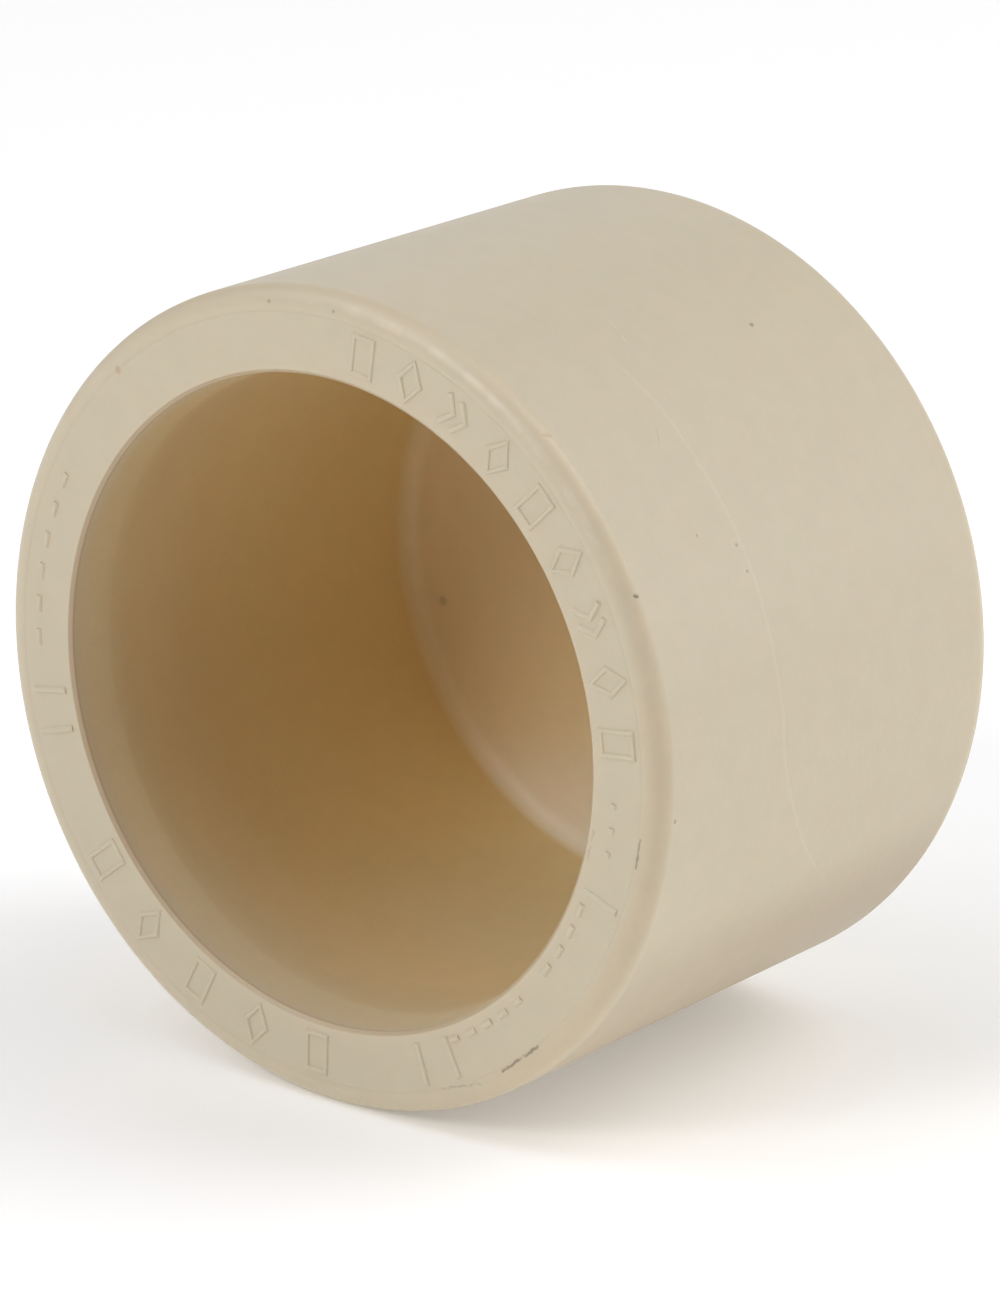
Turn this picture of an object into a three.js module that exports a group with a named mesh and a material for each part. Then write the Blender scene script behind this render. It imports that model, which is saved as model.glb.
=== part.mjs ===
// End cap for 32 mm plastic pressure pipe: one injection moulding with a blind solvent-weld socket.
// Millimetres, +Z up. The cap lies on its side: its axis is +Y, its mouth faces -Y, and it rests on z = 0.
// The origin is under the middle of its length.
import * as THREE from 'three';

// The socket, from the mouth inwards
const PIPE_DIAMETER = 32;         // outside diameter of the pipe that the socket takes
const ENTRY_CLEARANCE = 0.15;     // on the radius, at the inner end of the lead-in
const FLOOR_INTERFERENCE = 0.05;  // on the radius, where the socket has tapered down to its floor
const LEAD_IN_FLARE = 0.25;       // on the radius, how much wider the mouth is than the socket
const LEAD_IN_LENGTH = 2.6;       // how far in the flare reaches
const MOUTH_EDGE_BREAK = 0.15;    // soft edge between the rim and the lead-in
const SOCKET_DEPTH = 25.5;        // from the rim to the floor that stops the pipe
const FLOOR_FILLET = 1.0;         // radius between the socket wall and its floor

// The outside, from the mouth to the closed end
const WALL = 4.5;                 // radial wall at the mouth, outside the socket's entry
const RIM_ROUND = 1;              // radius on the rim's outer edge
const DRAFT = 0.4;                // how much smaller the outer radius is at the closed end
const CORNER_ROUND = 1.5;         // radius between the side and the closed end
const END_WALL = 3;               // thickness of the closed end on the axis
const END_CROWN = 1.5;            // how far the closed end's middle stands out beyond its edge

// Facets
const SIDES = 64;                 // around the axis, a multiple of four so that flats face down and sideways
const ROUND_STEPS = 4;            // along each small radius
const CROWN_STEPS = 4;            // along the crown

const entryRadius = PIPE_DIAMETER / 2 + ENTRY_CLEARANCE;
const floorRadius = PIPE_DIAMETER / 2 - FLOOR_INTERFERENCE;
const mouthRadius = entryRadius + LEAD_IN_FLARE;
const outerRadius = entryRadius + WALL;
const endRadius = outerRadius - DRAFT;
const length = SOCKET_DEPTH + END_WALL;

// Points along an arc in the (radius, height) half plane, with its angle counted from straight out.
function arc(centreRadius, centreHeight, radius, startAngle, endAngle, steps) {
  const points = [];
  for (let step = 0; step <= steps; step += 1) {
    const angle = THREE.MathUtils.lerp(startAngle, endAngle, step / steps);
    points.push(new THREE.Vector2(
      centreRadius + radius * Math.cos(angle),
      centreHeight + radius * Math.sin(angle),
    ));
  }
  return points;
}

// The closed end: a shallow spherical crown that runs tangent into the corner radius.
// Heights are measured from the rim, so the rim is at 0 and the crown's middle is at the cap's length.
function closedEnd() {
  const cornerCentre = endRadius - CORNER_ROUND;
  const crownRadius = (cornerCentre ** 2 + END_CROWN ** 2) / (2 * END_CROWN);
  const crownCentre = length - crownRadius;
  const cornerAngle = Math.acos(cornerCentre / (crownRadius - CORNER_ROUND));
  const cornerHeight = crownCentre + (crownRadius - CORNER_ROUND) * Math.sin(cornerAngle);
  return [
    ...arc(0, crownCentre, crownRadius, cornerAngle, Math.PI / 2, CROWN_STEPS).reverse(),
    ...arc(cornerCentre, cornerHeight, CORNER_ROUND, 0, cornerAngle, ROUND_STEPS).reverse().slice(1),
  ];
}

// The rim's outer edge. The drafted side runs straight to it from the closed end's corner.
function rimEdge() {
  return arc(outerRadius - RIM_ROUND, RIM_ROUND, RIM_ROUND, 0, -Math.PI / 2, ROUND_STEPS);
}

// The socket: edge break, lead-in, tapered wall, fillet and flat floor.
function socket() {
  const filletRadius = floorRadius - FLOOR_FILLET;
  const filletHeight = SOCKET_DEPTH - FLOOR_FILLET;
  return [
    new THREE.Vector2(mouthRadius + MOUTH_EDGE_BREAK, 0),
    new THREE.Vector2(mouthRadius, MOUTH_EDGE_BREAK),
    new THREE.Vector2(entryRadius, LEAD_IN_LENGTH),
    ...arc(filletRadius, filletHeight, FLOOR_FILLET, 0, Math.PI / 2, ROUND_STEPS),
    new THREE.Vector2(0, SOCKET_DEPTH),
  ];
}

function capBody() {
  const profile = [...closedEnd(), ...rimEdge(), ...socket()];
  profile[0].x = 0;
  const halfSide = Math.PI / SIDES;
  const geometry = new THREE.LatheGeometry(profile.reverse(), SIDES, halfSide);
  const material = new THREE.MeshStandardMaterial({ color: 0xcfc3ac, roughness: 0.42, metalness: 0 });
  const mesh = new THREE.Mesh(geometry, material);
  mesh.name = 'cap_body';
  mesh.position.set(0, -length / 2, outerRadius * Math.cos(halfSide));
  return mesh;
}

const cap = new THREE.Group();
cap.add(capBody());
export default cap;
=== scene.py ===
"""Blender looks for a 32 mm solvent-weld end cap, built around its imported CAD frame.

The cap lies on its side on a white table, with its mouth towards -Y. It is modelled in millimetres in a
working frame of its own, with the middle of its mouth at the origin and its axis on +Y, and is placed once,
in metres. Clock angles are degrees clockwise from the top, as the mouth is looked into.
"""
import logging
import math
from dataclasses import dataclass, field
from enum import Enum
from typing import Iterable, Sequence, Union

import bmesh
import bpy
from mathutils import Matrix, Vector


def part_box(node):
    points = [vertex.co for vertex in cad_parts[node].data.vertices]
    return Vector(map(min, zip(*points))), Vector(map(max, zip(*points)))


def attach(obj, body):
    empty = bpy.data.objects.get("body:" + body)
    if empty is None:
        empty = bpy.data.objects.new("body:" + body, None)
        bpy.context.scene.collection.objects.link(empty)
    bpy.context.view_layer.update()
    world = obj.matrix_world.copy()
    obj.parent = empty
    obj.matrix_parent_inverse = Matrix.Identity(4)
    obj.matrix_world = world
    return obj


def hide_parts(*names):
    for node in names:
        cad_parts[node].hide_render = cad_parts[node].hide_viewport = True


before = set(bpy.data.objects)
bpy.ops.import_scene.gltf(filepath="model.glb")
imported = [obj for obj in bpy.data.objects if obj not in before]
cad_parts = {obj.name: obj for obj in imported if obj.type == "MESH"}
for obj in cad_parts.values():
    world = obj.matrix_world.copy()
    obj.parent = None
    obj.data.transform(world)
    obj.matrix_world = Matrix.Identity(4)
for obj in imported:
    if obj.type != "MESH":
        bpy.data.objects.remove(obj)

log = logging.getLogger("end_cap")

MM = 0.001  # metres
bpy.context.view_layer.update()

Colour = tuple[float, float, float]


def linear(red: int, green: int, blue: int) -> Colour:
    """Turn a colour as a screen shows it into scene light.

    Args:
        red: red, from 0 to 255.
        green: green, from 0 to 255.
        blue: blue, from 0 to 255.

    Returns:
        The three linear channels, each from 0 to 1.
    """
    shares = (channel / 255 for channel in (red, green, blue))
    return tuple(s / 12.92 if s <= 0.04045 else ((s + 0.055) / 1.055) ** 2.4 for s in shares)


# --------------------------------------------------------------------------------------------------
# Shader maths
# --------------------------------------------------------------------------------------------------


@dataclass(frozen=True)
class Window:
    """A smooth window: the middles of its rising and its falling edge, and how wide each edge is."""

    low: float
    high: float
    edge: float


class Value:
    """A number that varies over a surface: one output socket, with arithmetic on it."""

    def __init__(self, material: "Material", socket: bpy.types.NodeSocket) -> None:
        """Wrap a socket.

        Args:
            material: the material whose node tree the socket is in.
            socket: the output that holds the number.
        """
        self.material = material
        self.socket = socket

    def maths(self, operation: str, *inputs: "Number", clamp: bool = False) -> "Value":
        """Add one Math node.

        Args:
            operation: the node's operation.
            inputs: its inputs, in order.
            clamp: whether its result is kept between 0 and 1.

        Returns:
            The node's result.
        """
        settings = {"operation": operation, "use_clamp": clamp}
        return self.material.node("ShaderNodeMath", settings, dict(enumerate(inputs)))

    def __add__(self, other: "Number") -> "Value":
        """Add a number or a value."""
        return self.maths("ADD", self, other)

    def __radd__(self, other: "Number") -> "Value":
        """Add to a number."""
        return self.maths("ADD", other, self)

    def __sub__(self, other: "Number") -> "Value":
        """Take away a number or a value."""
        return self.maths("SUBTRACT", self, other)

    def __rsub__(self, other: "Number") -> "Value":
        """Take this from a number."""
        return self.maths("SUBTRACT", other, self)

    def __mul__(self, other: "Number") -> "Value":
        """Multiply by a number or a value."""
        return self.maths("MULTIPLY", self, other)

    def __rmul__(self, other: "Number") -> "Value":
        """Multiply a number by this."""
        return self.maths("MULTIPLY", other, self)

    def __truediv__(self, other: "Number") -> "Value":
        """Divide by a number or a value."""
        return self.maths("DIVIDE", self, other)

    def size(self) -> "Value":
        """The number without its sign."""
        return self.maths("ABSOLUTE", self)

    def at_least(self, other: "Number") -> "Value":
        """The larger of two."""
        return self.maths("MAXIMUM", self, other)

    def root(self) -> "Value":
        """The number's square root."""
        return self.maths("SQRT", self)

    def held(self) -> "Value":
        """The number kept between 0 and 1."""
        return self.maths("ADD", self, 0.0, clamp=True)

    def rise(self, low: float, high: float) -> "Value":
        """A smooth step.

        Args:
            low: where the step begins, as 0.
            high: where it ends, as 1. If it is under low, the step falls instead.

        Returns:
            The step's height.
        """
        if high < low:
            return 1 - self.rise(high, low)
        settings = {"interpolation_type": "SMOOTHSTEP", "clamp": True}
        sockets = {"Value": self, "From Min": low, "From Max": high, "To Min": 0.0, "To Max": 1.0}
        return self.material.node("ShaderNodeMapRange", settings, sockets)

    def within(self, window: Window) -> "Value":
        """Where the number is in a window.

        Args:
            window: the window.

        Returns:
            1 inside the window and 0 outside it.
        """
        low, high, half = window.low, window.high, window.edge / 2
        return self.rise(low - half, low + half) * self.rise(high + half, high - half)


Number = Union[Value, float]
Input = Union[Value, bpy.types.NodeSocket, float, Sequence[float]]


class Material:
    """The node tree of a material, or of the world, while it is being made."""

    def __init__(self, owner: bpy.types.Material | bpy.types.World) -> None:
        """Empty the tree.

        Args:
            owner: the material or the world whose tree it is.
        """
        self.owner = owner
        self.owner.use_nodes = True
        self.tree = self.owner.node_tree
        self.tree.nodes.clear()

    def feed(self, target: bpy.types.NodeSocket, source: Input) -> None:
        """Link or set one input.

        Args:
            target: the input socket.
            source: a value or an output to link, or a constant.
        """
        if isinstance(source, Value):
            source = source.socket
        if isinstance(source, bpy.types.NodeSocket):
            self.tree.links.new(source, target)
        elif target.type == "RGBA" and len(source) == 3:
            target.default_value = (*source, 1.0)
        else:
            target.default_value = source

    def node(
        self,
        kind: str,
        settings: dict[str, object] | None = None,
        sockets: dict[str | int, Input] | None = None,
        result: str | int = 0,
    ) -> Value:
        """Add any node.

        Args:
            kind: the node's type.
            settings: its properties, set first. For a ramp, "stops" lists its places and colours.
            sockets: its inputs by name or number.
            result: which of its outputs to give back.

        Returns:
            That output.
        """
        made = self.tree.nodes.new(kind)
        for name, setting in (settings or {}).items():
            if name == "stops":
                self._ramp(made.color_ramp, setting)
            else:
                setattr(made, name, setting)
        for key, source in (sockets or {}).items():
            self.feed(made.inputs[key], source)
        return Value(self, made.outputs[result]) if len(made.outputs) else None

    @staticmethod
    def _ramp(ramp: bpy.types.ColorRamp, stops: Sequence[tuple[float, Colour]]) -> None:
        """Set a ramp's stops.

        Args:
            ramp: the ramp, with its two first stops.
            stops: a place and a colour for each stop, in order.
        """
        while len(ramp.elements) < len(stops):
            ramp.elements.new(1.0)
        for element, (place, colour) in zip(ramp.elements, stops):
            element.position = place
            element.color = (*colour, 1.0)

    def vector(self, operation: str, *inputs: Input, result: str = "Vector", **more: Input) -> Value:
        """Add a Vector Math node.

        Args:
            operation: the node's operation.
            inputs: its vectors, in order.
            result: which of its outputs to give back.
            more: other inputs by name.

        Returns:
            That output.
        """
        sockets = {**dict(enumerate(inputs)), **more}
        return self.node("ShaderNodeVectorMath", {"operation": operation}, sockets, result)

    def mix(self, share: Number, first: Input, second: Input, blend: str = "MIX") -> Value:
        """Mix two colours.

        Args:
            share: how much of the second one there is.
            first: the colour underneath.
            second: the colour on top.
            blend: how they combine.

        Returns:
            The mixed colour.
        """
        settings = {"data_type": "RGBA", "blend_type": blend}
        sockets = {"Factor": share, 6: first, 7: second}
        return self.node("ShaderNodeMix", settings, sockets, 2)

    def noise(self, place: Input, scale: float, detail: float = 2.0, roughness: float = 0.5) -> Value:
        """Add a noise pattern.

        Args:
            place: the coordinates that it reads.
            scale: how many features there are to a unit.
            detail: how many finer layers it has.
            roughness: how strong the finer layers are.

        Returns:
            The noise, about 0.5 on average.
        """
        sockets = {"Vector": place, "Scale": scale, "Detail": detail, "Roughness": roughness}
        return self.node("ShaderNodeTexNoise", {"noise_dimensions": "3D"}, sockets)

    def output(self, shader: Value, kind: str = "Material") -> bpy.types.Material | bpy.types.World:
        """Finish the tree.

        Args:
            shader: what its surface shows.
            kind: what the tree belongs to, "Material" or "World".

        Returns:
            The finished material or world.
        """
        self.node("ShaderNodeOutput" + kind, sockets={"Surface": shader})
        return self.owner


# --------------------------------------------------------------------------------------------------
# The cap's place and sizes
# --------------------------------------------------------------------------------------------------


@dataclass(frozen=True)
class Seat:
    """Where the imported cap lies: the box that the modelled one fills."""

    mouth: Vector
    length: float
    radius: float

    @classmethod
    def of(cls, node: str) -> "Seat":
        """Read the seat from a CAD node.

        Args:
            node: the node's name.

        Returns:
            The middle of its mouth in metres, with its length and outer radius in millimetres.
        """
        low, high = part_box(node)
        mouth = Vector(((low.x + high.x) / 2, low.y, (low.z + high.z) / 2))
        return cls(mouth, (high.y - low.y) / MM, (high.z - low.z) / 2 / MM)

    def matrix(self) -> Matrix:
        """The step from the cap's working frame to the part's frame."""
        return Matrix.Translation(self.mouth) @ Matrix.Scale(MM, 4)


@dataclass(frozen=True)
class CapSizes:
    """The cap's section, in millimetres. Depths run from the mouth towards the closed end."""

    length: float
    outer_radius: float
    entry_radius: float = 16.15
    floor_radius: float = 15.95
    lead_in_flare: float = 0.25
    lead_in_length: float = 2.6
    mouth_edge_break: float = 0.15
    socket_depth: float = 25.5
    floor_fillet: float = 1.0
    rim_round: float = 1.0
    draft: float = 0.4
    corner_round: float = 1.5
    end_crown: float = 1.5
    seam_radius: float = 19.42
    seam_width: float = 0.2
    seam_depth: float = 0.03
    lead_in_round: float = 3.0
    gate_radius: float = 1.9
    gate_slope: float = 0.2
    gate_depth: float = 0.35
    gate_stub_radius: float = 0.8
    gate_stub_height: float = 0.22

    @property
    def mouth_radius(self) -> float:
        """The radius of the mouth, outside its lead-in."""
        return self.entry_radius + self.lead_in_flare

    @property
    def end_radius(self) -> float:
        """The outer radius at the closed end."""
        return self.outer_radius - self.draft

    @property
    def rim_inner(self) -> float:
        """The inner radius of the flat rim."""
        return self.mouth_radius + self.mouth_edge_break


@dataclass(frozen=True)
class Place:
    """Where a point of the surface is, in the cap's working frame: millimetres, and a clock angle."""

    point: Value
    across: Value
    depth: Value
    up: Value
    radius: Value
    clock: Value

    @classmethod
    def of(cls, material: Material, seat: Seat) -> "Place":
        """Measure the place.

        Args:
            material: the material that is being made.
            seat: where the cap lies.

        Returns:
            The measured place.
        """
        metres = material.node("ShaderNodeTexCoord", result="Object")
        shift = tuple(-coordinate / MM for coordinate in seat.mouth)
        sockets = {"Vector": metres, "Location": shift, "Scale": (1 / MM,) * 3}
        point = material.node("ShaderNodeMapping", {"vector_type": "POINT"}, sockets)
        across = material.node("ShaderNodeSeparateXYZ", sockets={0: point}, result="X")
        depth = Value(material, across.socket.node.outputs["Y"])
        up = Value(material, across.socket.node.outputs["Z"])
        radius = (across * across + up * up).root()
        clock = across.maths("ARCTAN2", across, up) * math.degrees(1)
        return cls(point, across, depth, up, radius, clock)

    def towards(self, clock: float) -> Value:
        """How far the place is towards a clock angle, in millimetres from the axis.

        Args:
            clock: the angle.

        Returns:
            The distance, below 0 on the other side of the axis.
        """
        angle = math.radians(clock)
        return self.across * math.sin(angle) + self.up * math.cos(angle)


# --------------------------------------------------------------------------------------------------
# Raised marks on the rim
# --------------------------------------------------------------------------------------------------


class Mark(Enum):
    """A plain moulded mark, as strokes on a tile from -1 to 1: clockwise round the rim, then outwards."""

    BOX = (((-0.6, -0.9), (-0.6, 0.9), (0.6, 0.9), (0.6, -0.9), (-0.6, -0.9)),)
    DIAMOND = (((0.0, -1.0), (-0.65, 0.0), (0.0, 1.0), (0.65, 0.0), (0.0, -1.0)),)
    ARROWS = (((-0.7, -0.8), (-0.1, 0.0), (-0.7, 0.8)), ((0.1, -0.8), (0.7, 0.0), (0.1, 0.8)))
    BAR = (((0.0, -1.0), (0.0, 1.0)),)
    DASH = (((-0.5, 0.0), (0.5, 0.0)),)
    DOT = (((-0.12, 0.0), (0.12, 0.0)),)


MARK_RADIUS = 18.05  # millimetres, from the cap's axis to the middle of most marks


@dataclass(frozen=True)
class PlacedMark:
    """A mark at its clock angle."""

    mark: Mark
    clock: float
    radius: float = MARK_RADIUS
    scale: float = 1.0


def row(
    marks: Sequence[Mark], first: float, last: float, radius: float = MARK_RADIUS, scale: float = 1.0
) -> list[PlacedMark]:
    """Place some marks evenly round the rim.

    Args:
        marks: the marks, in clockwise order.
        first: the first one's clock angle.
        last: the last one's clock angle.
        radius: how far they are from the cap's axis.
        scale: their size.

    Returns:
        The placed marks.
    """
    step = (last - first) / (len(marks) - 1)
    return [PlacedMark(mark, first + step * number, radius, scale) for number, mark in enumerate(marks)]


def evaluated_mesh(drawn: bpy.types.Object) -> bpy.types.Mesh:
    """Turn a curve, or an object with modifiers, into a plain mesh.

    Args:
        drawn: the object.

    Returns:
        A new mesh of what it shows.
    """
    depsgraph = bpy.context.evaluated_depsgraph_get()
    return bpy.data.meshes.new_from_object(drawn.evaluated_get(depsgraph))


@dataclass(frozen=True)
class RimMarks:
    """The fine ridges on the rim, left by cuts of a round-nosed cutter in the mould. Millimetres."""

    half_height: float = 1.05
    half_width: float = 1.0
    ridge_radius: float = 0.22
    ridge_sunk: float = 0.12
    ridge_resolution: int = 6
    merge: float = 0.001
    marks: tuple[PlacedMark, ...] = (
        *row([Mark.BOX, Mark.DIAMOND, Mark.ARROWS, Mark.DIAMOND] * 2 + [Mark.BOX], 8, 84),
        *row([Mark.DOT] * 3, 94, 102, 17.8),
        PlacedMark(Mark.BAR, 110),
        *row([Mark.DASH] * 4, 113.5, 127, 17.2, 0.7),
        *row([Mark.DASH] * 5, 136, 152, 17.25, 0.6),
        *row([Mark.BAR] * 2, 154, 160.5),
        *row([Mark.BOX, Mark.DIAMOND] * 2 + [Mark.BOX], 182, 232),
        *row([Mark.BAR] * 2, 254, 260.5),
        *row([Mark.DASH] * 6, 269, 296, 18.5, 0.8),
    )

    def strokes(self) -> Iterable[list[Vector]]:
        """Every stroke of the marks.

        Yields:
            The stroke's points on the rim's plane.
        """
        for placed in self.marks:
            tile = self.tile(placed.clock, placed.radius)
            for stroke in placed.mark.value:
                across, out = self.half_width * placed.scale, self.half_height * placed.scale
                yield [tile @ Vector((across * u, out * v, 0)) for u, v in stroke]

    @staticmethod
    def tile(clock: float, radius: float) -> Matrix:
        """The place of a mark's tile on the rim.

        Args:
            clock: its angle in degrees, clockwise from the top.
            radius: how far its middle is from the cap's axis.

        Returns:
            A matrix that takes across, outwards and up from the rim into the cap's working frame.
        """
        turn = Matrix.Rotation(math.radians(clock), 4, "Y")
        return turn @ Matrix.Translation((0, 0, radius)) @ Matrix.Rotation(math.pi / 2, 4, "X")

    def build(self) -> bpy.types.Object:
        """Draw all the marks as one object.

        Returns:
            Closed round ridges that stand out of the rim by a part of their thickness.
        """
        curve = bpy.data.curves.new("rim_marks", "CURVE")
        curve.dimensions = "3D"
        curve.bevel_depth = self.ridge_radius
        curve.bevel_resolution = self.ridge_resolution
        curve.use_fill_caps = True
        for points in self.strokes():
            closed = points[0] == points[-1]
            points = points[:-1] if closed else points
            spline = curve.splines.new("POLY")
            spline.points.add(len(points) - 1)
            spline.use_cyclic_u = closed
            for spline_point, point in zip(spline.points, points):
                spline_point.co = (*point, 1.0)
        drawing = bpy.data.objects.new("rim_marks", curve)
        bpy.context.scene.collection.objects.link(drawing)
        mesh = evaluated_mesh(drawing)
        bpy.data.objects.remove(drawing)

        ridges = bmesh.new()
        ridges.from_mesh(mesh)
        bmesh.ops.remove_doubles(ridges, verts=ridges.verts, dist=self.merge)
        bmesh.ops.recalc_face_normals(ridges, faces=ridges.faces)
        bmesh.ops.translate(ridges, verts=ridges.verts, vec=(0, self.ridge_sunk, 0))
        ridges.to_mesh(mesh)
        ridges.free()
        marks = bpy.data.objects.new("rim_marks", mesh)
        bpy.context.scene.collection.objects.link(marks)
        return marks


# --------------------------------------------------------------------------------------------------
# The plastic
# --------------------------------------------------------------------------------------------------


class Soil(Enum):
    """The colours that blemishes and patches leave: real soil, and painted highlight and shade."""

    GRIME = linear(92, 78, 58)
    # real rubbing, and also a painted highlight along the rim's rounded edge
    RUST = linear(176, 128, 100)
    RUB_AND_HIGHLIGHT = linear(226, 215, 194)
    # painted shade on the rim's rounded edge, with some dust there
    SHADE_AND_DUST = linear(202, 187, 158)
    # painted shade along the underside
    PAINTED_SHADE = linear(190, 175, 150)


class Face(Enum):
    """The surface that a blemish is on."""

    SIDE = "side"
    RIM = "rim"
    FLOOR = "floor"


@dataclass(frozen=True)
class Blemish:
    """A speck or a scratch. A place is its clock angle, then its depth on the side or radius elsewhere."""

    face: Face
    start: tuple[float, float]
    end: tuple[float, float]
    width: float
    soil: Soil = Soil.GRIME
    strength: float = 0.5

    @property
    def is_speck(self) -> bool:
        """Whether it has no length."""
        return self.start == self.end

    def ends(self, sizes: CapSizes) -> tuple[Vector, Vector]:
        """Both ends in the cap's working frame.

        Args:
            sizes: the cap's sizes.

        Returns:
            The start and the end.
        """
        return self._point(self.start, sizes), self._point(self.end, sizes)

    def _point(self, place: tuple[float, float], sizes: CapSizes) -> Vector:
        """Put one place on its surface.

        Args:
            place: the clock angle, with the depth or the radius.
            sizes: the cap's sizes.

        Returns:
            The point in the cap's working frame.
        """
        clock = math.radians(place[0])
        if self.face is Face.SIDE:
            radius, depth = sizes.outer_radius - sizes.draft * place[1] / sizes.length, place[1]
        else:
            radius, depth = place[1], sizes.socket_depth if self.face is Face.FLOOR else 0.0
        return Vector((radius * math.sin(clock), depth, radius * math.cos(clock)))


def speck(face: Face, clock: float, place: float, width: float, **more: object) -> Blemish:
    """A blemish that is about as long as it is wide.

    Args:
        face: the surface that it is on.
        clock: its clock angle.
        place: its depth on the side, or its radius.
        width: how wide it is.
        more: its other fields.

    Returns:
        The blemish.
    """
    return Blemish(face, (clock, place), (clock, place), width, **more)


@dataclass(frozen=True)
class Wear:
    """Specks, scratches and grime from a bin of loose fittings. Sizes in millimetres, angles in degrees.

    The edges of a speck and a scratch fade over a range of shares of their width.
    """

    blemishes: tuple[Blemish, ...] = (
        Blemish(Face.SIDE, (63.2, 0.45), (63.9, 0.8), 0.18, strength=0.75),
        speck(Face.SIDE, 33.8, 18.8, 0.26, strength=0.5),
        speck(Face.SIDE, 62.3, 8.8, 0.16, strength=0.4),
        speck(Face.SIDE, 66.0, 8.9, 0.16, strength=0.4),
        speck(Face.SIDE, 59.2, 6.4, 0.14, strength=0.4),
        speck(Face.SIDE, 94.6, 1.1, 0.2, strength=0.4),
        speck(Face.SIDE, 150.0, 13.0, 0.2, strength=0.4),
        speck(Face.SIDE, 255.0, 17.5, 0.2, strength=0.4),
        speck(Face.SIDE, 318.0, 6.0, 0.18, strength=0.4),
        Blemish(Face.SIDE, (25.7, 10.8), (30.7, 10.3), 0.08, Soil.RUB_AND_HIGHLIGHT, 0.35),
        Blemish(Face.SIDE, (44.1, 7.6), (45.5, 7.3), 0.14, strength=0.12),
        Blemish(Face.SIDE, (38.6, 0.1), (39.8, 0.9), 0.2, Soil.RUST, 0.35),
        Blemish(Face.SIDE, (205.0, 20.0), (216.0, 18.8), 0.1, Soil.RUB_AND_HIGHLIGHT, 0.35),
        Blemish(Face.SIDE, (288.0, 9.0), (284.0, 14.5), 0.1, strength=0.12),
        Blemish(Face.RIM, (97.5, 19.5), (101.8, 19.52), 0.14, strength=0.5),
        Blemish(Face.RIM, (145.6, 19.6), (137.4, 19.55), 0.15, strength=0.6),
        Blemish(Face.RIM, (158.0, 19.4), (150.7, 19.7), 0.12, strength=0.25),
        Blemish(Face.RIM, (62.3, 20.3), (66.0, 20.35), 0.14, Soil.RUST, 0.6),
        Blemish(Face.RIM, (99.2, 16.8), (104.6, 16.75), 0.12, strength=0.2),
        speck(Face.RIM, 318.0, 19.4, 0.4, soil=Soil.RUST, strength=0.4),
        speck(Face.RIM, 350.4, 19.9, 0.2, strength=0.4),
        speck(Face.RIM, 2.1, 19.8, 0.18, strength=0.4),
        speck(Face.FLOOR, 254.0, 14.1, 0.5, strength=0.25),
    )
    wobble: float = 0.2
    wobble_scale: float = 3.0
    break_scale: float = 1.6
    break_edge: tuple[float, float] = (0.32, 0.5)
    speck_edge: tuple[float, float] = (0.7, 0.3)
    scratch_edge: tuple[float, float] = (0.8, 0.2)

    def apply(self, material: Material, place: Place, colour: Value, sizes: CapSizes) -> Value:
        """Lay the blemishes on a colour.

        Args:
            material: the material that is being made.
            place: the place on the cap.
            colour: the clean colour.
            sizes: the cap's sizes.

        Returns:
            The soiled colour.
        """
        broken = material.noise(place.point, self.break_scale, 2.0).rise(*self.break_edge)
        sockets = {"Vector": place.point, "Scale": self.wobble_scale, "Detail": 1.0}
        stray = material.node("ShaderNodeTexNoise", {"noise_dimensions": "3D"}, sockets, "Color")
        stray = material.vector("SUBTRACT", stray, (0.5, 0.5, 0.5))
        point = material.vector("ADD", place.point, material.vector("SCALE", stray, Scale=self.wobble))
        for blemish in self.blemishes:
            start, end = blemish.ends(sizes)
            way = end - start
            if blemish.is_speck:
                off = material.vector("DISTANCE", point, start, result="Value")
                share = off.rise(*(blemish.width * edge for edge in self.speck_edge))
            else:
                step = material.vector("SUBTRACT", point, start)
                along = material.vector("DOT_PRODUCT", step, way / way.length_squared, result="Value").held()
                nearest = material.vector("SCALE", way, Scale=along)
                off = material.vector("DISTANCE", step, nearest, result="Value")
                share = off.rise(*(blemish.width * edge for edge in self.scratch_edge)) * broken
            colour = material.mix(share * blemish.strength, colour, blemish.soil.value)
        return colour


@dataclass(frozen=True)
class PaintedBoreShading:
    """Painted light and shade on the bore's wall, strongest towards one clock angle.

    It begins at a share of the way from the axis to the wall, and fades in over a range of depths.
    """

    clock: float
    colour: Colour
    begins: float
    depths: tuple[float, float]


@dataclass(frozen=True)
class LightAndStain:
    """A patch of painted light and shade, or of stains, bounded by its inset from the outer radius, its
    depth and clock angle.
    """

    soil: Soil
    strength: float
    inset: Window
    depth: Window
    clock: Window
    mirrored: bool = False
    patchy: bool = False
    patch_scale: float = 0.8
    patch_edge: tuple[float, float] = (0.4, 0.62)

    def apply(self, material: Material, place: Place, colour: Value, sizes: CapSizes) -> Value:
        """Lay the patch on a colour.

        Args:
            material: the material that is being made.
            place: the place on the cap.
            colour: the colour under it.
            sizes: the cap's sizes.

        Returns:
            The patched colour.
        """
        clock = place.clock.size() if self.mirrored else place.clock
        inset = sizes.outer_radius - place.radius
        share = inset.within(self.inset) * place.depth.within(self.depth) * clock.within(self.clock)
        if self.patchy:
            share = share * material.noise(place.point, self.patch_scale, 3.0).rise(*self.patch_edge)
        return material.mix(share * self.strength, colour, self.soil.value)


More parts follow.
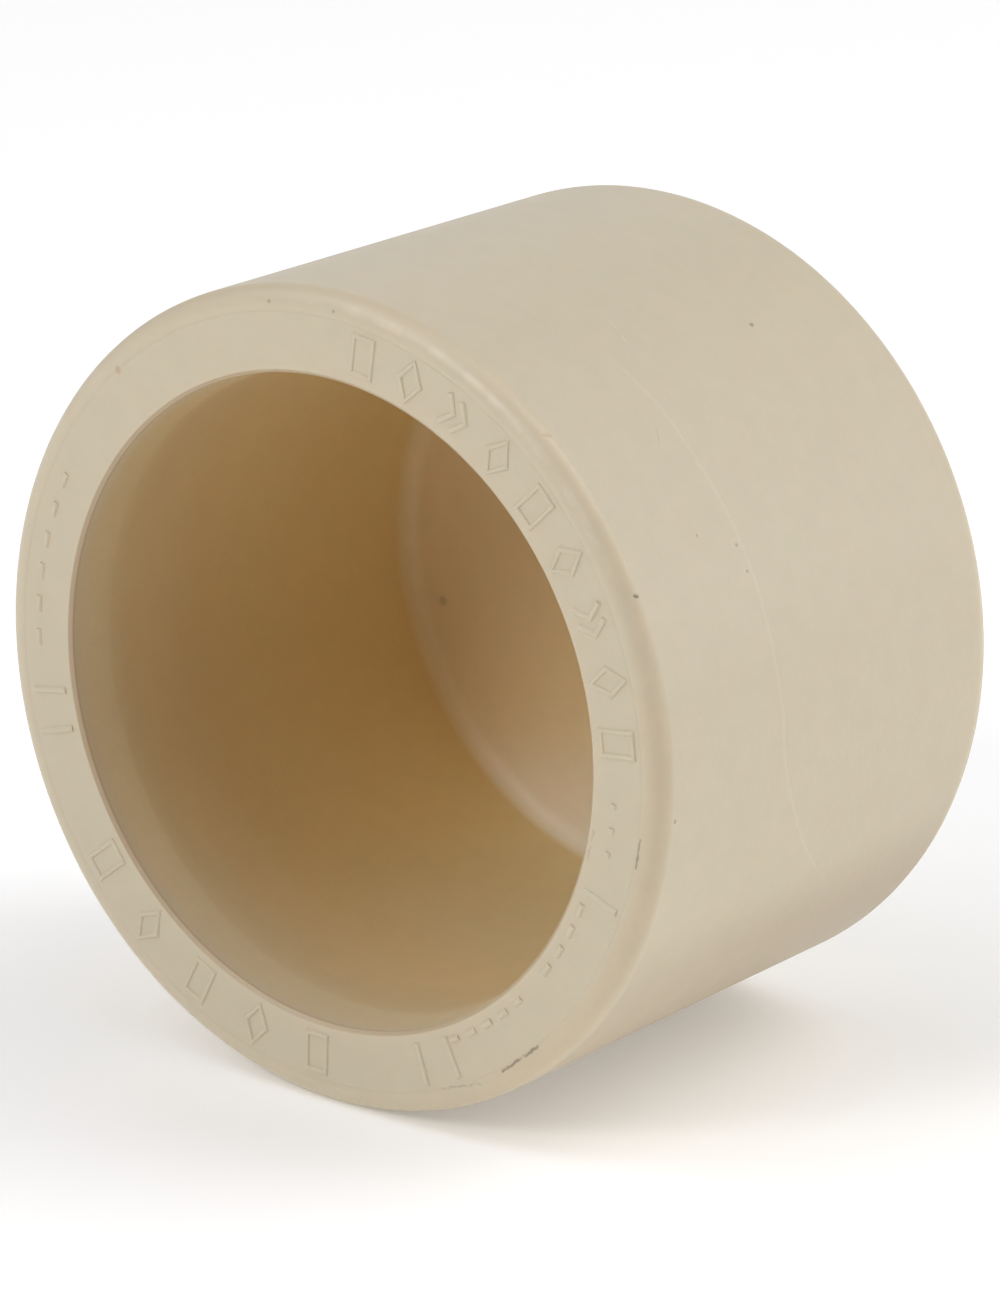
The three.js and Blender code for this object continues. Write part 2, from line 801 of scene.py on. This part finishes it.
@dataclass(frozen=True)
class RubLine:
    """The long faint line that another part's edge has rubbed along the side.

    Its depth grows evenly with the clock angle, and faster past the angle where it bends.
    """

    clock: Window = Window(33.0, 116.0, 8.0)
    start_clock: float = 31.0
    start_depth: float = 8.4
    slope: float = 0.017
    bend_clock: float = 88.0
    bend: float = 0.0072
    wander: float = 0.4
    wander_scale: float = 0.3
    edge: tuple[float, float] = (0.16, 0.02)
    strength: float = 0.16

    def apply(self, material: Material, place: Place, colour: Value) -> Value:
        """Draw the line on a colour.

        Args:
            material: the material that is being made.
            place: the place on the cap.
            colour: the colour under it.

        Returns:
            The rubbed colour.
        """
        past = (place.clock - self.bend_clock).at_least(0.0)
        line = self.start_depth + (place.clock - self.start_clock) * self.slope + past * past * self.bend
        line = line + material.noise(place.point, self.wander_scale, 1.0) * self.wander
        near = (place.depth - line).size().rise(*self.edge) * place.clock.within(self.clock)
        return material.mix(near * self.strength, colour, Soil.RUB_AND_HIGHLIGHT.value)


@dataclass(frozen=True)
class CreamPlastic:
    """Satin cream plastic, as it leaves the mould and after some handling, with light and shade painted into
    its colour.

    Lengths are in millimetres. A pair of numbers is where a smooth step begins and where it ends.
    """

    body: Colour = linear(203, 191, 166)
    # painted light: the bore's amber glow, which deepens with depth
    bore: tuple[tuple[float, Colour], ...] = (
        (0.0, linear(211, 194, 159)),
        (2.0, linear(211, 192, 154)),
        (3.6, linear(206, 183, 142)),
        (9.0, linear(212, 183, 132)),
        (25.5, linear(226, 200, 145)),
    )
    bore_edge: float = 0.1
    bore_end: tuple[float, float] = (26.5, 26.2)
    # painted light: the socket floor's amber glow, lighter on the side towards the floor's clock angle
    floor: Colour = linear(222, 197, 151)
    floor_lit_side: Colour = linear(233, 224, 204)
    floor_light_clock: float = 165.0
    floor_light_spread: tuple[float, float] = (0.3, 0.88)
    floor_begins: tuple[float, float] = (24.4, 25.1)
    # painted light and shade: the bore's wall lighter or darker towards each clock angle
    bore_shading_tints: tuple[PaintedBoreShading, ...] = (
        PaintedBoreShading(165.0, (1.0, 1.12, 1.34), 0.55, (4.0, 14.0)),
        PaintedBoreShading(188.0, (0.965, 0.975, 1.0), 0.6, (8.0, 5.0)),
        PaintedBoreShading(258.0, (1.05, 1.045, 1.025), 0.6, (8.0, 5.0)),
        PaintedBoreShading(328.0, (0.925, 0.88, 0.8), 0.5, (11.0, 3.0)),
    )
    # painted shade: a thin darker ring on the mouth's edge break
    mouth_edge_shade: Colour = linear(177, 150, 115)
    mouth_edge_shade_strength: float = 0.5
    mouth_edge_in: float = 0.02
    mouth_edge_out: float = 0.03
    mouth_edge_blur: float = 0.08
    mouth_edge_depth: tuple[float, float] = (0.4, 0.2)
    light_and_stains: tuple[LightAndStain, ...] = (
        # painted highlight along the rim's rounded edge, partly real rubbing, in patches
        LightAndStain(
            soil=Soil.RUB_AND_HIGHLIGHT,
            strength=0.25,
            inset=Window(0.36, 0.72, 0.14),
            depth=Window(-1.0, 0.9, 0.6),
            clock=Window(-2.0, 60.0, 14.0),
            patchy=True,
        ),
        # painted shade on the rim's rounded edge, with some dust
        LightAndStain(
            soil=Soil.SHADE_AND_DUST,
            strength=0.6,
            inset=Window(-0.2, 1.1, 0.5),
            depth=Window(-1.0, 0.9, 0.6),
            clock=Window(74.0, 150.0, 16.0),
        ),
        # painted shade where the rim's rounded edge meets the side
        LightAndStain(
            soil=Soil.SHADE_AND_DUST,
            strength=0.5,
            inset=Window(-1.0, 0.275, 0.25),
            depth=Window(0.3, 1.0, 0.3),
            clock=Window(-25.0, 70.0, 20.0),
        ),
        # painted shade along the underside, on both halves
        LightAndStain(
            soil=Soil.PAINTED_SHADE,
            strength=1.0,
            inset=Window(-1.0, 0.7, 0.2),
            depth=Window(1.1, 40.0, 1.0),
            clock=Window(118.5, 200.0, 17.0),
            mirrored=True,
        ),
    )
    rub_line: RubLine = field(default_factory=RubLine)
    roughness: float = 0.42
    bore_roughness: float = 0.55
    ior: float = 1.5
    grain_depth: float = 0.008
    grain_scale: float = 3.5
    peel_depth: float = 0.02
    peel_scale: float = 0.45
    mottle_scale: float = 0.7
    mottle_spread: tuple[float, float] = (0.25, 0.75)
    mottle_shades: tuple[Colour, Colour] = ((0.985,) * 3, (1.015,) * 3)
    hue_scale: float = 0.42
    hue_spread: tuple[float, float] = (0.3, 0.7)
    hue_offset: tuple[float, float, float] = (31.0, 17.0, 5.0)
    hues: tuple[Colour, Colour] = ((1.008, 0.996, 0.994), (0.994, 1.002, 1.0))
    subsurface: float = 0.3
    subsurface_radius: Colour = (1.0, 0.55, 0.3)
    subsurface_scale: float = 2.0
    wear: Wear = field(default_factory=Wear)

    def make(self, seat: Seat, sizes: CapSizes) -> bpy.types.Material:
        """Make the material.

        Args:
            seat: where the cap lies.
            sizes: the cap's sizes.

        Returns:
            The finished material.
        """
        material = Material(bpy.data.materials.new("cream_plastic"))
        place = Place.of(material, seat)
        inside = place.radius.rise(sizes.mouth_radius, sizes.mouth_radius - self.bore_edge)
        inside = inside * place.depth.rise(*self.bore_end)
        # the bore's colour is painted light and shade
        colour = material.mix(inside, self.body, self._painted_bore_light(material, place, sizes))
        # painted shade on the mouth's edge break
        inner, outer = sizes.mouth_radius - self.mouth_edge_in, sizes.rim_inner + self.mouth_edge_out
        mouth = place.radius.within(Window(inner, outer, self.mouth_edge_blur))
        mouth = mouth * place.depth.rise(*self.mouth_edge_depth)
        colour = material.mix(mouth * self.mouth_edge_shade_strength, colour, self.mouth_edge_shade)
        # painted highlight and shade on the outside, with real rubbing and dust
        for patch in self.light_and_stains:
            colour = patch.apply(material, place, colour, sizes)
        colour = self.rub_line.apply(material, place, colour)
        colour = self._mottle(material, place, colour)
        colour = self.wear.apply(material, place, colour, sizes)
        shader = material.node(
            "ShaderNodeBsdfPrincipled",
            sockets={
                "Base Color": colour,
                "Roughness": self.roughness + (self.bore_roughness - self.roughness) * inside,
                "Normal": self._bump(material, place),
                "Subsurface Weight": self.subsurface,
                "Subsurface Radius": self.subsurface_radius,
                "Subsurface Scale": self.subsurface_scale * MM,
                "IOR": self.ior,
            },
        )
        return material.output(shader)

    def _painted_bore_light(self, material: Material, place: Place, sizes: CapSizes) -> Value:
        """Paint light and shade into the bore's colour: an amber glow for the light that comes through the
        plastic.

        Args:
            material: the material that is being made.
            place: the place on the cap.
            sizes: the cap's sizes.

        Returns:
            The colour with its painted light and shade.
        """
        longest = self.bore[-1][0]
        stops = [(depth / longest, tint) for depth, tint in self.bore]
        wall = material.node("ShaderNodeValToRGB", {"stops": stops}, {"Fac": place.depth * (1 / longest)})
        # painted light and shade on the wall, towards each clock angle
        for tint in self.bore_shading_tints:
            share = (place.towards(tint.clock) / sizes.entry_radius).rise(tint.begins, 1.0)
            wall = material.mix(share * place.depth.rise(*tint.depths), wall, tint.colour, "MULTIPLY")
        # painted light: the floor lighter towards the floor's clock angle
        low = (place.towards(self.floor_light_clock) / sizes.entry_radius).rise(*self.floor_light_spread)
        floor = material.mix(low, self.floor, self.floor_lit_side)
        return material.mix(place.depth.rise(*self.floor_begins), wall, floor)

    def _mottle(self, material: Material, place: Place, colour: Value) -> Value:
        """Vary the colour very slightly, as moulded plastic does.

        Args:
            material: the material that is being made.
            place: the place on the cap.
            colour: the even colour.

        Returns:
            The mottled colour.
        """
        shade = material.noise(place.point, self.mottle_scale, 4.0, 0.6).rise(*self.mottle_spread)
        colour = material.mix(1.0, colour, material.mix(shade, *self.mottle_shades), "MULTIPLY")
        offset = material.vector("ADD", place.point, self.hue_offset)
        hue = material.noise(offset, self.hue_scale, 3.0).rise(*self.hue_spread)
        return material.mix(1.0, colour, material.mix(hue, *self.hues), "MULTIPLY")

    def _bump(self, material: Material, place: Place) -> Value:
        """Raise a fine grain on a faint orange peel.

        Args:
            material: the material that is being made.
            place: the place on the cap.

        Returns:
            The bumped normal.
        """
        grain = material.noise(place.point, self.grain_scale, 1.0)
        peel = material.noise(place.point, self.peel_scale, 0.0)
        height = grain * self.grain_depth + peel * self.peel_depth
        sockets = {"Height": height, "Distance": MM, "Strength": 1.0}
        return material.node("ShaderNodeBump", sockets=sockets)


# --------------------------------------------------------------------------------------------------
# The cap
# --------------------------------------------------------------------------------------------------


@dataclass
class CapMoulding:
    """The whole cap: one closed moulding."""

    seat: Seat
    sizes: CapSizes
    marks: RimMarks = field(default_factory=RimMarks)
    finish: CreamPlastic = field(default_factory=CreamPlastic)
    sides: int = 256
    round_steps: int = 8
    crown_steps: int = 10
    merge: float = 0.0005
    sharp_angle: float = math.radians(30)

    def section(self) -> bmesh.types.BMesh:
        """Draw half of the cap's section, as radius and depth.

        Returns:
            One wire from the closed end's middle round the mouth to the socket floor's middle.
        """
        s = self.sizes
        wire = bmesh.new()
        crown_radius = (s.end_radius**2 + s.end_crown**2) / (2 * s.end_crown)
        crown_centre = s.length - crown_radius
        gate_edge = math.sqrt(crown_radius**2 - s.gate_radius**2) + crown_centre
        gate_floor = s.length - s.gate_depth
        gate = (
            (0, gate_floor + s.gate_stub_height),
            (s.gate_stub_radius, gate_floor + s.gate_stub_height),
            (s.gate_stub_radius + s.gate_slope, gate_floor),
            (s.gate_radius - s.gate_slope, gate_floor),
            (s.gate_radius, gate_edge),
        )
        points = [wire.verts.new((radius, depth, 0)) for radius, depth in gate]
        for start, end in zip(points, points[1:]):
            wire.edges.new((start, end))
        crown = bmesh.ops.spin(
            wire,
            geom=[points[-1]],
            cent=(0, crown_centre, 0),
            axis=(0, 0, 1),
            angle=math.asin(s.gate_radius / crown_radius) - math.asin(s.end_radius / crown_radius),
            steps=self.crown_steps,
        )
        corner = next(v for v in crown["geom_last"] if isinstance(v, bmesh.types.BMVert))
        rounds = {corner: s.corner_round}
        corners = (
            (s.outer_radius, 0, s.rim_round),
            (s.seam_radius + s.seam_width / 2, 0, 0),
            (s.seam_radius, s.seam_depth, 0),
            (s.seam_radius - s.seam_width / 2, 0, 0),
            (s.rim_inner, 0, 0),
            (s.mouth_radius, s.mouth_edge_break, 0),
            (s.entry_radius, s.lead_in_length, s.lead_in_round),
            (s.floor_radius, s.socket_depth, s.floor_fillet),
            (0, s.socket_depth, 0),
        )
        last = corner
        for radius, depth, rounding in corners:
            point = wire.verts.new((radius, depth, 0))
            wire.edges.new((last, point))
            if rounding:
                rounds[point] = rounding
            last = point
        for point, rounding in rounds.items():
            ways = [(edge.other_vert(point).co - point.co).normalized() for edge in point.link_edges]
            turn = math.pi - ways[0].angle(ways[1])
            bmesh.ops.bevel(
                wire,
                geom=[point],
                offset=rounding * math.tan(turn / 2),
                offset_type="OFFSET",
                affect="VERTICES",
                segments=self.round_steps,
                profile=0.5,
                material=-1,
            )
        return wire

    def build(self) -> bpy.types.Object:
        """Make the cap.

        Returns:
            The finished piece.
        """
        shell = self.section()
        bmesh.ops.spin(
            shell,
            geom=shell.verts[:] + shell.edges[:],
            cent=(0, 0, 0),
            axis=(0, 1, 0),
            angle=2 * math.pi,
            steps=self.sides,
            use_merge=True,
        )
        bmesh.ops.remove_doubles(shell, verts=shell.verts, dist=self.merge)
        bmesh.ops.recalc_face_normals(shell, faces=shell.faces)
        mesh = bpy.data.meshes.new("end_cap")
        shell.to_mesh(mesh)
        shell.free()
        cap = bpy.data.objects.new("end_cap", mesh)
        bpy.context.scene.collection.objects.link(cap)
        self._raise_marks(cap)
        self._smooth(cap)
        cap.data.transform(self.seat.matrix())
        cap.data.materials.clear()
        cap.data.materials.append(self.finish.make(self.seat, self.sizes))
        return cap

    def _raise_marks(self, cap: bpy.types.Object) -> None:
        """Join the rim's marks to the cap.

        Args:
            cap: the plain cap.
        """
        marks = self.marks.build()
        join = cap.modifiers.new("join", "BOOLEAN")
        join.operation = "UNION"
        join.solver = "EXACT"
        join.use_self = True
        join.object = marks
        joined = evaluated_mesh(cap)
        cap.modifiers.remove(join)
        cap.data = joined
        bpy.data.objects.remove(marks)

    def _smooth(self, cap: bpy.types.Object) -> None:
        """Shade the cap smooth, with its flats kept flat.

        Args:
            cap: the cap.
        """
        cap.data.shade_smooth()
        cap.data.set_sharp_from_angle(angle=self.sharp_angle)
        weigh = cap.modifiers.new("weigh", "WEIGHTED_NORMAL")
        weigh.keep_sharp = True


# --------------------------------------------------------------------------------------------------
# The studio
# --------------------------------------------------------------------------------------------------


@dataclass(frozen=True)
class Softbox:
    """A square soft light that faces the cap."""

    name: str
    azimuth: float
    elevation: float
    distance: float
    size: float
    power: float
    colour: Colour = (1.0, 1.0, 1.0)

    def build(self, target: Vector) -> None:
        """Hang the light.

        Args:
            target: the point that it faces.
        """
        data = bpy.data.lights.new(self.name, "AREA")
        data.shape = "SQUARE"
        data.size = self.size
        data.energy = self.power
        data.color = self.colour
        light = bpy.data.objects.new(self.name, data)
        back = away(self.azimuth, self.elevation)
        light.location = target + back * self.distance
        light.rotation_euler = (-back).to_track_quat("-Z", "Y").to_euler()
        light.visible_camera = False
        bpy.context.scene.collection.objects.link(light)


def away(azimuth: float, elevation: float) -> Vector:
    """The direction from the cap to something round it.

    Args:
        azimuth: degrees round from the front, where +X is to the right.
        elevation: degrees above the table.

    Returns:
        A unit vector.
    """
    a, e = math.radians(azimuth), math.radians(elevation)
    return Vector((math.sin(a) * math.cos(e), -math.cos(a) * math.cos(e), math.sin(e)))


@dataclass(frozen=True)
class Studio:
    """A white table in soft light, and the camera."""

    seat: Seat
    table_size: float = 30.0
    table_colour: Colour = (0.93, 0.92, 0.9)
    table_roughness: float = 0.7
    table_glow: Colour = (0.2, 0.2, 0.2)
    far_glow: Colour = (1.0, 1.0, 1.0)
    glow_from: float = 0.35
    glow_to: float = 1.2
    sky: Colour = (1.0, 1.0, 1.0)
    sky_strength: float = 0.15
    azimuth: float = 39.06
    elevation: float = 18.26
    distance: float = 385.1 * MM
    aim_right: float = 8.47 * MM
    aim_up: float = 2.66 * MM
    lens: float = 221.5
    softboxes: tuple[Softbox, ...] = (
        Softbox("front", -10, 34, 0.9, 0.3, 2.48),
        Softbox("front_left", -45, 52, 0.9, 0.5, 2.04, (0.98, 1.0, 1.05)),
        Softbox("top", 0, 88, 0.9, 0.6, 1.12, (0.95, 1.0, 1.2)),
        Softbox("back_right_high", 130, 52, 0.9, 0.5, 2.8),
        Softbox("back_left", -140, 18, 0.9, 0.5, 0.4),
        Softbox("back_right", 130, 18, 0.9, 0.5, 2.25),
        Softbox("back", 180, 18, 0.9, 0.5, 0.4),
    )

    def build_camera(self) -> None:
        """Stand the camera in front of the cap."""
        back = away(self.azimuth, self.elevation)
        turn = (-back).to_track_quat("-Z", "Y")
        aim = self.seat.mouth + turn @ Vector((self.aim_right, self.aim_up, 0))
        data = bpy.data.cameras.new("camera")
        data.lens = self.lens
        data.dof.use_dof = False
        camera = bpy.data.objects.new("camera", data)
        camera.location = aim + back * self.distance
        camera.rotation_euler = turn.to_euler()
        bpy.context.scene.collection.objects.link(camera)
        bpy.context.scene.camera = camera

    def build_table(self) -> bpy.types.Object:
        """Make the table.

        Returns:
            A flat sheet at the height that the cap lies on.
        """
        sheet = bmesh.new()
        bmesh.ops.create_grid(sheet, x_segments=8, y_segments=8, size=self.table_size / 2)
        mesh = bpy.data.meshes.new("table")
        sheet.to_mesh(mesh)
        sheet.free()
        table = bpy.data.objects.new("table", mesh)
        bpy.context.scene.collection.objects.link(table)
        material = Material(bpy.data.materials.new("white_table"))
        place = material.node("ShaderNodeTexCoord", result="Object")
        away_from_cap = material.vector("LENGTH", place, result="Value")
        far = away_from_cap.rise(self.glow_from, self.glow_to)
        shader = material.node(
            "ShaderNodeBsdfPrincipled",
            sockets={
                "Base Color": self.table_colour,
                "Roughness": self.table_roughness,
                "Emission Color": material.mix(far, self.table_glow, self.far_glow),
                "Emission Strength": 1.0,
            },
        )
        mesh.materials.append(material.output(shader))
        return table

    def build_light(self) -> None:
        """Fill the room with dim light, which looks white past the table, and hang the softboxes."""
        world = Material(bpy.data.worlds.new("studio"))
        seen = world.node("ShaderNodeLightPath", result="Is Camera Ray")
        strength = self.sky_strength + (1 - self.sky_strength) * seen
        shader = world.node("ShaderNodeBackground", sockets={"Color": self.sky, "Strength": strength})
        bpy.context.scene.world = world.output(shader, "World")
        for softbox in self.softboxes:
            softbox.build(self.seat.mouth)


def main() -> None:
    """Build the cap and the studio round it, and say what was made."""
    seat = Seat.of("cap_body")
    studio = Studio(seat)
    studio.build_camera()
    studio.build_light()
    table = studio.build_table()
    log.info("studio: camera, table and %d softboxes", len(studio.softboxes))

    sizes = CapSizes(length=seat.length, outer_radius=seat.radius)
    cap = CapMoulding(seat, sizes).build()
    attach(cap, "root")
    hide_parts("cap_body")
    log.info("%s: %d faces", cap.name, len(cap.data.polygons))
    bpy.context.scene.view_settings.view_transform = "Standard"


if __name__ == "__main__":
    logging.basicConfig(level=logging.INFO, format="%(name)s: %(message)s")
    main()
